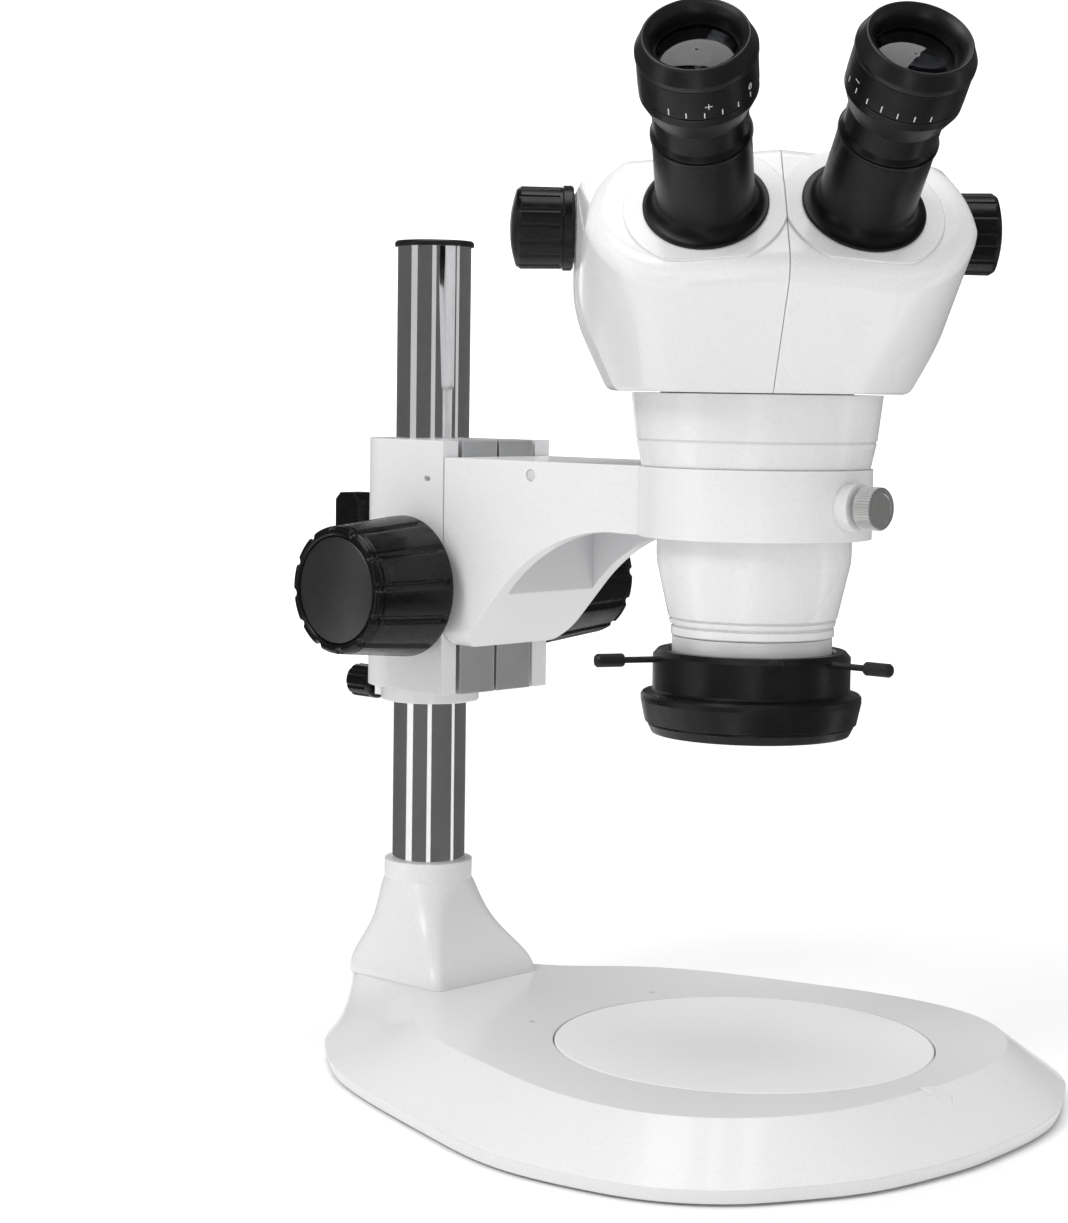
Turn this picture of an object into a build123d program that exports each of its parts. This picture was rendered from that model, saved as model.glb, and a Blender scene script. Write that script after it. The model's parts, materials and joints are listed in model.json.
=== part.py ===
from build123d import *
import os
from math import atan2, cos, degrees, pi, radians, sin, sqrt, tan

# Stereo microscope on a pole stand, millimetres, +Z up.
# Origin: on the optical axis of the head, at table level. The post stands behind it, towards +Y.

# ---- Stand ----
BASE_TOP = 25.0            # plateau of the base
RIM_HEIGHT = 6.5           # height of the widest line of the base
BASE_BOTTOM = 1.2          # underside of the base, above the rubber feet
PLATE_R = 75.0             # round stage plate
PLATE_THICK = 5.0
PLATE_GAP = 0.6
POST_Y = 180.0
POST_R = 16.0
POST_WALL = 3.0
POST_FOOT = 30.0           # lower end of the post, inside the foot
POST_TOP = 342.5
FOOT_TOP = 74.5
FOOT_COLLAR_R = 19.3
FOOT_FEET = [(-98, -62), (98, -62), (-68, 138), (68, 138)]

# ---- Post collar and focus block, measured from the post axis ----
POST_FIT = 0.05            # running clearance on the post
COLLAR_R = 21.5
COLLAR_BOTTOM = 145.2
COLLAR_TOP = 152.0
COLLAR_SCREW_Z = 149.6
BLOCK_BOTTOM = 152.3
BLOCK_TOP = 259.7
BLOCK_REAR_R = 27.3
BLOCK_FRONT = 39.5
BLOCK_HALF_WIDTH = 32.3
CHANNEL_HALF = 23.4        # channel for the slide rails in the block's front
CHANNEL_FLOOR = 28.0
RAIL_FRONT = 40.0
RAIL_HALF = 21.4
RAIL_GAP = 0.8
SHAFT_Z = 198.3
SHAFT_FORWARD = 23.5       # pinion shaft axis, in front of the post axis
SHAFT_R = 4.0
SHAFT_HALF = 76.0
MODULE = 1.0
TEETH = 12
PINION_HALF = 5.7
PITCH_R = MODULE * TEETH / 2
KNOB_INNER = 38.3          # focus knobs, distances along the shaft
KNOB_OUTER = 78.3
KNOB_INNER_R = 29.9
KNOB_OUTER_R = 26.3
KNOB_FLUTES = 12

# ---- Arm ----
ARM_REAR = POST_Y - RAIL_FRONT
ARM_HALF = 32.0
ARM_TOP = 252.8
ARM_BOTTOM = 173.5
RING_BOTTOM = 225.7
RING_R = 45.5
BARREL_R = 38.0            # standard 76 mm head mount
BARREL_FIT = 0.06

# ---- Head, in its own frame: user side towards -Y, then turned about Z ----
HEAD_TURN = -45.5
HEAD_BOTTOM = 281.6
HEAD_TOP = 369.5
HEAD_BACK = 48.0
SHELL_WALL = 3.0
HEAD_SIDE = 70.9           # half width
HEAD_SHOULDER_Z = 363.3    # the top falls outwards to here
HEAD_SHOULDER_R = 6.0
HEAD_BELLY_Z = 325.0       # the sides curve in below this
HEAD_BELLY_R = 54.0
HEAD_BELLY_LEAN = 25.5
HEAD_NOSE = -32.5          # front wall, measured down the sloping face from the eye tubes
HEAD_NOSE_R = 35.0         # front corner at the sloping face
HEAD_NOSE_GROWTH = 0.36    # and its growth per millimetre down the slope
HEAD_BACK_R = 10.0
CROWN_R = 25.0             # upper front corner
CROWN_Z = 340.0
CROWN_CLIMB = 15.0
HEAD_EDGE_R = 4.5
HEAD_RIM_R = 8.0           # round the sloping face
HEAD_LIP = 6.5             # the raised lip follows the sloping face this far inside its edge
EYE_TILT = 42.3            # eye tubes above horizontal
EYE_SPLAY = 6.85           # each tube outwards
EYE_X = 28.13
EYE_Y = -80.63
EYE_Z = 348.04
FLARE_R = 22.5
TUBE_R = 17.5
OPENING_R = 16.6           # hole in the shell under each skirt; the tube swings about an offset axis
ZOOM_Y = 20.0
ZOOM_BOSS_R = 13.5
ZOOM_Z = 345.0
ZOOM_R = 16.6

# ---- Ring light and auxiliary lens ----
AUX_R = 31.3
AUX_BOTTOM = 171.0
AUX_TOP = 187.0
LIGHT_BOTTOM = 148.7
LIGHT_TOP = 181.5
LIGHT_BORE = 32.4
LIGHT_SCREW_Z = 178.4
LIGHT_SCREW_ANGLES = (152.0, -88.0, 32.0)
INLET_ANGLE = 60.0
CORD_R = 1.75
LED_COUNT = 30


def rod(radius, low, high):
    """Cylinder on the Z axis between two heights."""
    return Pos(0, 0, low) * extrude(Circle(radius), high - low)


def pipe(outer, inner, low, high):
    return rod(outer, low, high) - rod(inner, low - 1, high + 1)


def bar(x0, x1, y0, y1, z0, z1):
    """Box from its limits."""
    centre = Pos((x0 + x1) / 2, (y0 + y1) / 2, (z0 + z1) / 2)
    return centre * Box(x1 - x0, y1 - y0, z1 - z0)


def turned(*profile):
    """Solid of revolution about Z from (radius, height) corners."""
    corners = [(r, 0, z) for r, z in profile]
    return revolve(make_face(Polyline(*corners, close=True)), Axis.Z)


def facing(origin, direction, shape, x_dir=None):
    """Stand a shape that was made on +Z at origin, along direction."""
    return Plane(origin=origin, x_dir=x_dir, z_dir=direction) * shape


def ring_of(shape, count, first=0.0):
    """Copies of a shape spread evenly about Z."""
    return [Rot(0, 0, first + 360 * i / count) * shape for i in range(count)]


def at_post(shape):
    return Pos(0, POST_Y, 0) * shape


def in_head(shape):
    return Rot(0, 0, HEAD_TURN) * shape


def mirrored(shape):
    return mirror(shape, about=Plane.YZ)


def solids(shapes):
    """One compound of separate solids."""
    return Compound(children=[s for shape in shapes for s in shape.solids()])


# ---------------------------------------------------------------- stand
def outline(points, height, scale=1.0):
    """Closed smooth outline through the points of its right half and their mirror images."""
    centre_y = 45.0
    right = [(x * scale, centre_y + (y - centre_y) * scale, height) for x, y in points]
    left = [(-x, y, z) for x, y, z in reversed(right[1:-1])]
    return make_face(Spline(*right, *left, periodic=True))


RIM = [(0, -115.5), (30, -113.5), (56, -108.5), (73.5, -101.5), (87, -94), (100, -86), (113, -74),
       (125, -55), (132.5, -28), (135.5, 3), (126, 49), (115, 86), (103.5, 119), (95.5, 136), (84, 153),
       (68, 171.5), (51, 185), (35, 196.5), (17, 204.5), (0, 207.5)]
PLATEAU = [(0, -91), (45, -87), (74, -75), (94, -57), (105, -36), (108.5, -10), (106, 15), (99, 43),
           (91.5, 70), (83, 93), (71, 114), (57, 129), (45, 142), (37, 157), (33.5, 179), (26, 200),
           (0, 205.5)]


def base():
    skirt = loft([outline(RIM, RIM_HEIGHT), outline(PLATEAU, BASE_TOP)], ruled=False)
    under = loft([outline(RIM, BASE_BOTTOM, 0.99), outline(RIM, RIM_HEIGHT)], ruled=False)
    body = skirt + under
    body -= rod(PLATE_R + PLATE_GAP, BASE_TOP - PLATE_THICK, BASE_TOP + 1)
    cavity = extrude(outline(RIM, BASE_BOTTOM - 1, 0.86), 12.5)
    cavity -= bar(-40, 40, 128, 230, 0, 30)
    for x, y in FOOT_FEET:
        cavity -= Pos(x, y, 0) * rod(13, 0, 30)
    body -= cavity
    body -= Pos(0, POST_Y, 0) * (rod(5.3, 0, 30) + rod(11.5, 0, 13))
    for x, y in foot_screw_spots():
        body -= Pos(x, y, 0) * (rod(2.6, 0, 30) + rod(5.0, 0, 10))
    for x in (-37, 37):
        body -= Pos(x, 79.5, 0) * rod(1.6, BASE_TOP - 4, BASE_TOP + 1)
    dimple = facing((-5.7, -89.5, BASE_TOP + 1.3), (0.76, -0.70, -0.42), rod(2.6, 0, 13))
    dimple += Pos(-5.7, -89.0, 0) * rod(1.2, BASE_TOP - 3, BASE_TOP + 1)
    return body - dimple


def bottom_plate():
    plate = extrude(outline(RIM, BASE_BOTTOM, 0.855), 1.5)
    plate -= bar(-40.6, 40.6, 127.4, 230, 0, 30)
    for x, y in FOOT_FEET:
        plate -= Pos(x, y, 0) * rod(13.3, 0, 30)
    return plate


def rubber_feet():
    pad = turned((0, 0), (10.5, 0), (11.5, BASE_BOTTOM), (0, BASE_BOTTOM))
    return solids([Pos(x, y, 0) * pad for x, y in FOOT_FEET])


def stage_plate():
    disc = rod(PLATE_R, BASE_TOP - PLATE_THICK, BASE_TOP)
    return chamfer(disc.edges().sort_by(Axis.Z)[-1], 0.4)


def foot_section(height, half_width, front, rear, front_r, rear_r):
    """Rounded rectangle round the post axis, at one height of the foot."""
    corners = [(-half_width, -front), (half_width, -front), (half_width, rear), (-half_width, rear)]
    face = make_face(Polyline(*corners, close=True))
    nose = face.vertices().filter_by(lambda v: v.Y < 0)
    face = fillet(nose, front_r)
    tail = [v for v in face.vertices() if abs(v.Y - rear) < 0.01]
    face = fillet(tail, rear_r)
    return Pos(0, POST_Y, height) * face


def foot_screw_spots():
    return [(x, POST_Y + y) for x in (-20, 20) for y in (-26, 12)]


def foot():
    flare = loft([
        foot_section(BASE_TOP, 31.3, 38.4, 23.5, 4.0, 11.0),
        foot_section(33, 29.6, 35.4, 22.7, 4.5, 11.0),
        foot_section(42, 24.6, 28.2, 20.9, 6.0, 12.0),
        foot_section(53, 20.7, 21.6, 19.6, 10.0, 14.0),
        foot_section(66, FOOT_COLLAR_R, FOOT_COLLAR_R, FOOT_COLLAR_R, 19.0, 19.0),
    ])
    body = flare + at_post(rod(FOOT_COLLAR_R, 65, FOOT_TOP))
    body -= at_post(rod(POST_R + POST_FIT, POST_FOOT, 100) + rod(5.3, 0, 40))
    for x, y in foot_screw_spots():
        body -= Pos(x, y, 0) * rod(2.0, 0, 34)
    return body


def foot_screws():
    screw = rod(1.95, 10, 33) + rod(4.4, 6, 10)
    return solids([Pos(x, y, 0) * screw for x, y in foot_screw_spots()])


def post():
    wall = pipe(POST_R, POST_R - POST_WALL, POST_FOOT, POST_TOP)
    plug = pipe(POST_R - 1, 5.0, POST_FOOT, POST_FOOT + 25)
    return at_post(wall + plug)


def post_cap():
    head = turned((0, POST_TOP), (17.2, POST_TOP), (17.2, 344.2), (16.4, 345), (0, 345))
    spigot = rod(POST_R - POST_WALL - 0.05, POST_TOP - 12, POST_TOP)
    return at_post(head + spigot)


def post_bolt():
    head = extrude(RegularPolygon(8, 6), 6)
    return at_post(Pos(0, 0, 5) * head + rod(4.95, 10, 50) + pipe(11, 4.0, 11, 13))


# ---------------------------------------------------------------- collar and block
def safety_collar():
    ring = pipe(COLLAR_R, POST_R + POST_FIT, COLLAR_BOTTOM, COLLAR_TOP)
    ring = chamfer(ring.edges().filter_by(GeomType.CIRCLE).sort_by(Axis.Z)[0:1], 0.6)
    ear = bar(-7, 7, 18, 28, COLLAR_BOTTOM, COLLAR_TOP)
    ear -= rod(18, 0, 300)
    slit = bar(-0.8, 0.8, 14, 18, 100, 300)
    hole = facing((0, 10, COLLAR_SCREW_Z), (0, 1, 0), rod(2.05, 0, 30))
    return at_post(ring + ear - slit - hole)


def collar_knob():
    grip = extrude(Circle(7.4), 15.5)
    grip = fillet(grip.edges(), 1.6)
    groove = Pos(7.9, 0, 3) * rod(1.3, 0, 40)
    for cut in ring_of(groove, 10):
        grip -= cut
    stem = rod(2.0, -14, 1) + rod(5, -1.6, 1)
    return at_post(facing((0, 32, COLLAR_SCREW_Z), (0, 1, 0), grip + stem))


def block_outline():
    """Half-round behind the post, sides slanting out to the front corners."""
    lean = radians(6.5)
    touch = (BLOCK_REAR_R * cos(lean), BLOCK_REAR_R * sin(lean))
    right = Line((BLOCK_HALF_WIDTH, -BLOCK_FRONT), touch)
    rear = ThreePointArc(touch, (0, BLOCK_REAR_R), (-touch[0], touch[1]))
    left = Line((-touch[0], touch[1]), (-BLOCK_HALF_WIDTH, -BLOCK_FRONT))
    front = Line((-BLOCK_HALF_WIDTH, -BLOCK_FRONT), (BLOCK_HALF_WIDTH, -BLOCK_FRONT))
    return make_face([right, rear, left, front])


def focus_block():
    body = Pos(0, 0, BLOCK_BOTTOM) * extrude(block_outline(), BLOCK_TOP - BLOCK_BOTTOM)
    body -= rod(POST_R + POST_FIT, 0, 400)
    body -= bar(-CHANNEL_HALF, CHANNEL_HALF, -60, -CHANNEL_FLOOR, 0, 400)
    boss = facing((0, -SHAFT_FORWARD, SHAFT_Z), (1, 0, 0), rod(13, -36, 36))
    boss -= bar(-29, 29, -60, 60, 100, 300)
    body += boss
    body -= facing((0, -SHAFT_FORWARD, SHAFT_Z), (1, 0, 0), rod(7.0, -60, 60))
    body -= bar(-9, 9, -SHAFT_FORWARD - 6, -SHAFT_FORWARD + 3.6, SHAFT_Z - 7.6, SHAFT_Z + 7.6)
    body -= facing((0, 0, SHAFT_Z + 8), (0, 1, 0), rod(4.1, 10, 60))
    keyhole = facing((-30, -28, 243.5), (-1, 0, 0), rod(1.3, -2, 8) + Pos(0, 1.8, 0) * rod(1.0, -2, 8))
    return at_post(body - keyhole)


def block_clamp_knob():
    """Winged clamp knob behind the block; its screw presses on the post."""
    hub = turned((0, 0), (8.5, 0), (9.5, 2), (9.5, 16), (8, 27), (0, 27))
    wing = Pos(0, 0, 19.5) * Box(11, 56, 15)
    wing = chamfer(wing.edges().filter_by(Axis.X), 3.2)
    wing = fillet(wing.edges().filter_by(Axis.X), 1.0)
    stem = rod(4.0, -13.0, 1)
    knob = hub + wing + stem
    return at_post(facing((0, 29.5, SHAFT_Z + 8), (0, 1, 0), knob, x_dir=(1, 0, 0)))


def shaft_bushes():
    bush = pipe(6.95, SHAFT_R + 0.03, 22, 37.2)
    pair = [Rot(0, 90, 0) * bush, Rot(0, -90, 0) * bush]
    return at_post(solids([Pos(0, -SHAFT_FORWARD, SHAFT_Z) * b for b in pair]))


def gear_tooth():
    """Stub tooth pointing along +Y, on a wheel at the origin."""
    root, tip = PITCH_R - 0.95 * MODULE, PITCH_R + 0.75 * MODULE
    half = [(1.05, root - 0.4), (0.98, root), (0.70, PITCH_R), (0.36, tip)]
    points = half + [(-x, y) for x, y in reversed(half)]
    return make_face(Polyline(*points, close=True))


def pinion_shaft():
    shaft = rod(SHAFT_R, -SHAFT_HALF, SHAFT_HALF)
    wheel = rod(PITCH_R - 0.95 * MODULE, -PINION_HALF, PINION_HALF)
    for i in range(TEETH):
        tooth = extrude(Rot(0, 0, 90 + 360 * i / TEETH) * gear_tooth(), 2 * PINION_HALF)
        wheel += Pos(0, 0, -PINION_HALF) * tooth
    pinion = shaft + wheel
    return at_post(Pos(0, -SHAFT_FORWARD, SHAFT_Z) * (Plane.YZ * pinion))


def knob_radius(station):
    return KNOB_INNER_R + (KNOB_OUTER_R - KNOB_INNER_R) * station / (KNOB_OUTER - KNOB_INNER)


def focus_knob():
    """Tapered fluted knob on +Z: base at 0, notched rim at the outer end."""
    length = KNOB_OUTER - KNOB_INNER
    rim = length - 5
    body = turned((12, 0), (25, 0), (26.5, -1.5 + 1.5), (KNOB_INNER_R - 0.8, 0),
                  (KNOB_INNER_R, 1.2), (knob_radius(rim), rim), (KNOB_OUTER_R - 1.4, rim + 0.6),
                  (KNOB_OUTER_R - 1.4, rim + 1.8), (KNOB_OUTER_R, rim + 2.2),
                  (KNOB_OUTER_R, length - 1.6), (KNOB_OUTER_R - 2.2, length), (22.4, length),
                  (22.4, length - 6), (SHAFT_R + 0.05, length - 6), (SHAFT_R + 0.05, 4), (12, 4))
    lean = degrees(atan2(KNOB_INNER_R - KNOB_OUTER_R, length))
    groove = Pos(KNOB_INNER_R + 0.7, 0, 3) * (Rot(0, -lean, 0) * rod(1.9, 0, length + 5))
    for cut in ring_of(groove, KNOB_FLUTES, 15):
        body -= cut
    return body


def on_shaft(side, shape):
    turn = Rot(0, 90 * side, 0)
    return at_post(Pos(side * KNOB_INNER, -SHAFT_FORWARD, SHAFT_Z) * (turn * shape))


def focus_knob_cap():
    length = KNOB_OUTER - KNOB_INNER
    dome = dome_arc(21.6, length - 0.6, length + 3.2)
    edge = Polyline((0, 0, length + 3.2), (0, 0, length - 2), (22.0, 0, length - 2),
                    (22.0, 0, length - 0.9), (21.6, 0, length - 0.6))
    return revolve(make_face([dome, edge]), Axis.Z)


# ---------------------------------------------------------------- slide and arm
def slide_rails():
    """Two rails side by side in the block's channel, their rack seat between them at the back."""
    rail = bar(RAIL_GAP, RAIL_HALF, -RAIL_FRONT, -CHANNEL_FLOOR - 0.4, BLOCK_BOTTOM, BLOCK_TOP)
    rail -= bar(-6.2, 6.2, -34.6, 0, 0, 400)
    for z in (180, 232, 248):
        rail -= facing((12, -30, z), (0, -1, 0), rod(2.0, -5, 20))
    return at_post(solids([rail, mirrored(rail)]))


def rack_tooth():
    tip, root = 0.72 * MODULE, 1.0 * MODULE
    half_tip, half_pitch, half_root = 0.36, 0.66, 1.02
    points = [(-root, half_root), (0, half_pitch), (tip, half_tip)]
    points += [(y, -z) for y, z in reversed(points)]
    return make_face(Plane.YZ * Polyline(*points, close=True))


def focus_rack():
    pitch_y = -SHAFT_FORWARD - PITCH_R
    back = bar(-6, 6, -34.5, pitch_y - 0.9 * MODULE, BLOCK_BOTTOM + 1, BLOCK_TOP - 1)
    spacing = pi * MODULE
    count = 15
    for i in range(-count, count + 1):
        z = SHAFT_Z + (i + 0.5) * spacing
        back += Pos(-6, pitch_y, z) * extrude(rack_tooth(), 12, dir=(1, 0, 0))
    return at_post(back)


def rail_screws():
    screw = rod(1.95, 0, 11.5)
    screws = []
    for side in (-1, 1):
        for z in (180, 232, 248):
            screws.append(facing((12 * side, -29.5, z), (0, -1, 0), screw))
    return at_post(solids(screws))


def arm_profile():
    """Side view of the arm: flat top, rear face on the rails, arched underside."""
    top = Polyline((60, ARM_TOP), (ARM_REAR, ARM_TOP), (ARM_REAR, ARM_BOTTOM), (130, ARM_BOTTOM),
                   (107.8, 197.5))
    arch = ThreePointArc((107.8, 197.5), (83, 217.0), (40, RING_BOTTOM + 0.2))
    close = Polyline((40, RING_BOTTOM + 0.2), (40, ARM_TOP), (60, ARM_TOP))
    return make_face([Plane.YZ * edge for edge in (top, arch, close)])


def arm():
    beam = Pos(-ARM_HALF, 0, 0) * extrude(arm_profile(), 2 * ARM_HALF, dir=(1, 0, 0))
    low = beam.edges().filter_by(Axis.Y).group_by(Axis.Z)[0]
    beam = fillet(low, 10.0)
    ring = rod(RING_R, RING_BOTTOM, ARM_TOP)
    bridge = bar(-ARM_HALF, ARM_HALF, 0, 45, RING_BOTTOM + 0.2, ARM_TOP)
    body = beam + bridge + ring
    body -= rod(BARREL_R + BARREL_FIT, 0, 400)
    pocket = bar(-26, 26, 49, 108, 150, 245)
    body -= pocket
    boss = facing((0, 0, 239), (0, -1, 0), rod(9, 40, 50.5))
    body += boss - rod(RING_R - 1, 0, 400)
    body -= facing((0, 0, 239), (0, -1, 0), rod(3.05, 30, 60))
    for z in (180, 232, 248):
        for x in (-12, 12):
            body -= facing((x, 150, z), (0, -1, 0), rod(2.0, 0, 17.5))
    for side in (-1, 1):
        body -= facing((side * ARM_HALF, 90.5, 247), (side, 0, 0), rod(2.4, -2.2, 5))
    return body


def arm_plugs():
    plug = turned((0, -2.2), (2.35, -2.2), (2.35, -0.5), (1.6, 0), (0, 0))
    return solids([facing((s * ARM_HALF, 90.5, 247), (s, 0, 0), plug) for s in (-1, 1)])


def ring_screw():
    """Thumb screw that clamps the head in the ring."""
    head = rod(8.2, 52.5, 60.5)
    head = chamfer(head.edges(), 0.5)
    for cut in ring_of(Pos(8.4, 0, 0) * rod(0.45, 50, 62), 48):
        head -= cut
    face = turned((0, 60.2), (5.6, 60.2), (6.2, 61), (0, 61))
    stem = rod(2.98, 38.4, 53) + rod(5.2, 50.8, 52.6)
    return facing((0, 0, 239), (0, -1, 0), head + stem - face)


# ---------------------------------------------------------------- head body
def barrel():
    body = turned(
        (31.0, 187.2), (31.9, 187.6), (31.9, 190.4), (31.2, 190.7), (31.2, 191.3), (32.2, 191.6),
        (32.6, 193.4), (32.0, 193.7), (32.0, 194.2), (33.0, 194.5), (37.7, 215.5), (BARREL_R, 219),
        (BARREL_R, ARM_TOP + 0.05), (44.2, ARM_TOP + 0.05), (44.6, 253.5), (46.6, 262.6), (46.2, 262.9),
        (46.2, 263.3), (46.8, 263.6), (48.8, 281.2), (35, 281.2), (35, 215), (29, 195), (29, 187.2))
    return body


def guide_rods():
    return in_head(solids([Pos(0, y, 0) * rod(2.0, 197.0, 285) for y in (-26, 26)]))


def objective_cell():
    """Twin objective seat at the bottom of the barrel."""
    cell = rod(28.9, 188.0, 197.0) + pipe(30.6, 20, 195.0, 197.0) - pipe(40, 28.9, 195.0, 198)
    for side in (-1, 1):
        cell -= Pos(side * 13, 0, 0) * (rod(10.5, 180, 200) + rod(11.55, 192, 200))
    return in_head(cell)


def dome_arc(radius, edge, crown):
    """Arc from (radius, edge) up or down to the Z axis at height crown, level at the axis."""
    rise = crown - edge
    bend = (radius ** 2 + rise ** 2) / (2 * abs(rise))
    half = atan2(radius, bend - abs(rise)) / 2
    drop = bend * (1 - cos(half))
    middle = (bend * sin(half), 0, crown - drop if rise > 0 else crown + drop)
    return ThreePointArc((radius, 0, edge), middle, (0, 0, crown))


def lens(radius, thick, bulge):
    """Biconvex lens centred on the origin."""
    half = thick / 2
    upper = dome_arc(radius, half, half + bulge)
    lower = dome_arc(radius, -half, -half - bulge)
    side = Line((radius, 0, half), (radius, 0, -half))
    spine = Line((0, 0, half + bulge), (0, 0, -half - bulge))
    return revolve(make_face([upper, lower, side, spine]), Axis.Z)


def objective_lenses():
    glass = lens(11.5, 3.0, 0.6)
    return in_head(solids([Pos(s * 13, 0, 194.0) * glass for s in (-1, 1)]))


def zoom_carrier(height):
    """Lens carrier that slides on the two guide rods."""
    disc = rod(31, height - 4, height + 4)
    disc -= bar(-40, 40, 31.5, 60, 0, 400)
    for y in (-26, 26):
        disc -= Pos(0, y, 0) * rod(2.05, 0, 400)
    for side in (-1, 1):
        disc -= Pos(side * 13, 0, 0) * (rod(8.5, 0, 400) + rod(9.55, height - 2, 400))
    return in_head(disc)


def zoom_lenses(height):
    glass = lens(9.5, 2.4, 0.7)
    return in_head(solids([Pos(s * 13, 0, height) * glass for s in (-1, 1)]))


def head_frame():
    """Inner frame: floor plate on the barrel and two cheeks that carry the zoom shaft."""
    floor = rod(37.5, HEAD_BOTTOM - 0.4, 288) + pipe(34.8, 30, 276, 288)
    for side in (-1, 1):
        floor -= Pos(side * 13, 0, 0) * rod(10, 200, 400)
    for y in (-26, 26):
        floor -= Pos(0, y, 0) * rod(2.0, 200, 285.0)
    cheek = bar(44, 48, -22, 26, 288.2, 358)
    foot_tab = bar(34, 48, -22, 26, 284.8, 288.2) 
    cheek += foot_tab
    cheek = cheek - facing((0, ZOOM_Y, ZOOM_Z), (1, 0, 0), rod(3.03, 0, 100))
    beam = bar(-44, 44, 18, 26, 352, 358)
    return in_head(floor + cheek + mirrored(cheek) + beam)


def eye_plane():
    """Plane of the right-hand sloping face; its normal is the eye tube's axis."""
    tilt, splay = radians(EYE_TILT), radians(EYE_SPLAY)
    normal = (sin(splay), -cos(splay) * cos(tilt), cos(splay) * sin(tilt))
    across = (cos(splay), sin(splay) * cos(tilt), -sin(splay) * sin(tilt))
    return Plane(origin=(EYE_X, EYE_Y, EYE_Z), x_dir=across, z_dir=normal)


def shell_front(inset):
    """Front view of the right half: flared floor, rounded belly, upright side, top falling outwards."""
    side = HEAD_SIDE - inset
    floor, top, shoulder = HEAD_BOTTOM + inset, HEAD_TOP - inset, HEAD_SHOULDER_Z - inset
    seam = 0.1 if inset == 0 else -1.0
    belly, lean = HEAD_BELLY_R - inset, radians(HEAD_BELLY_LEAN)

    def on_belly(angle):
        return side - belly * (1 - cos(angle)), HEAD_BELLY_Z - belly * sin(angle)

    knee = on_belly(lean)
    toe = (knee[0] - (knee[1] - floor) * tan(lean), floor)
    curve = ThreePointArc((side, HEAD_BELLY_Z), on_belly(lean / 2), knee)
    rest = Polyline(knee, toe, (seam, floor), (seam, top), (side, shoulder), (side, HEAD_BELLY_Z))
    face = make_face([curve, rest])
    corner = [v for v in face.vertices() if abs(v.X - side) < 0.01 and abs(v.Y - shoulder) < 0.01]
    face = fillet(corner, HEAD_SHOULDER_R - inset)
    return Pos(0, 100, 0) * extrude(Plane.XZ * face, 230)


def nose_section(inset, station):
    """Front wall, round corner and side, across the slope at a station along it."""
    front, side = HEAD_NOSE + inset, HEAD_SIDE + 0.3 - inset
    radius = HEAD_NOSE_R - inset - HEAD_NOSE_GROWTH * station
    start, end = (side - radius, front), (side, front + radius)
    middle = (side - radius * (1 - sin(pi / 4)), front + radius * (1 - cos(pi / 4)))
    edges = [Line((-40, front), start), ThreePointArc(start, middle, end),
             Line(end, (side, 190)), Line((side, 190), (-40, 190)), Line((-40, 190), (-40, front))]
    tilt = radians(EYE_TILT)
    slope = Plane(origin=(0, EYE_Y, EYE_Z), x_dir=(1, 0, 0), z_dir=(0, -cos(tilt), sin(tilt)))
    return slope * (Pos(0, 0, station) * make_face(edges))


def shell_plan(inset):
    """Plan of the right half, with its rounded back corner."""
    rear, side, front = HEAD_BACK - inset, HEAD_SIDE - inset, -150.0
    face = make_face(Polyline((-10, front), (side, front), (side, rear), (-10, rear), close=True))
    corner = [v for v in face.vertices() if v.X > 20 and v.Y > 20]
    return Pos(0, 0, 250) * extrude(fillet(corner, HEAD_BACK_R - inset), 150)


def shell_nose(inset):
    return loft([nose_section(inset, 30), nose_section(inset, -150)], ruled=True)


def shell_crown(inset):
    """Cutter for the round upper front corner; it climbs towards the back and leaves the top there."""
    climb = radians(CROWN_CLIMB)
    centre = (HEAD_SIDE - CROWN_R - 0.3, -60, CROWN_Z)
    along = Plane(origin=centre, x_dir=(1, 0, 0), z_dir=(0, cos(climb), sin(climb)))
    corner = Pos(30, -30, 0) * Rectangle(60, 60) - Circle(CROWN_R - inset)
    return along * (Pos(0, 0, -90) * extrude(corner, 190))


def shell_blank(inset):
    """Right half of the head before its edges are rounded."""
    cover = eye_plane() * (Pos(0, 0, -1.3 - inset) * extrude(Rectangle(400, 400), -400))
    body = shell_front(inset) & shell_nose(inset) & shell_plan(inset) & cover
    return body - shell_crown(inset)


def is_upper_back(edge):
    """True for the edges between the top and the back."""
    spot = edge.center()
    return spot.X > 1 and spot.Y > 30 and spot.Z > HEAD_SHOULDER_Z - 8


def is_lower(edge):
    return edge.center().X > 1 and edge.center().Z < HEAD_BOTTOM + 0.6


def is_front(edge):
    """True for the edges of the sloping face that carries the eye tubes."""
    height = eye_plane().to_local_coords(edge.center()).Z
    return edge.center().X > 1 and abs(height + 1.3) < 0.3


def head_shell():
    body = fillet(shell_blank(0).edges().filter_by(is_upper_back), HEAD_EDGE_R)
    body = fillet(body.edges().filter_by(is_lower), HEAD_EDGE_R)
    body = fillet(body.edges().filter_by(is_front), HEAD_RIM_R)
    body -= shell_blank(SHELL_WALL)
    lip = eye_plane() * rod(29.5, -3.0, -0.3)
    lip &= shell_nose(HEAD_LIP)
    lip &= bar(0.1, 90, -200, 200, 200, 400)
    body += lip
    body -= eye_plane() * (Pos(-1.2, -0.3, 0) * rod(OPENING_R, -12, 5))
    body -= rod(38.5, 200, HEAD_BOTTOM + SHELL_WALL + 0.5)
    boss = facing((0, ZOOM_Y, ZOOM_Z), (1, 0, 0), rod(ZOOM_BOSS_R, 40, 71.4)) - shell_blank(SHELL_WALL)
    boss -= bar(-10, 55, -100, 100, 200, 400)
    body += boss
    body -= facing((0, ZOOM_Y, ZOOM_Z), (1, 0, 0), rod(5.0, 40, 100))
    return body


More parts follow.
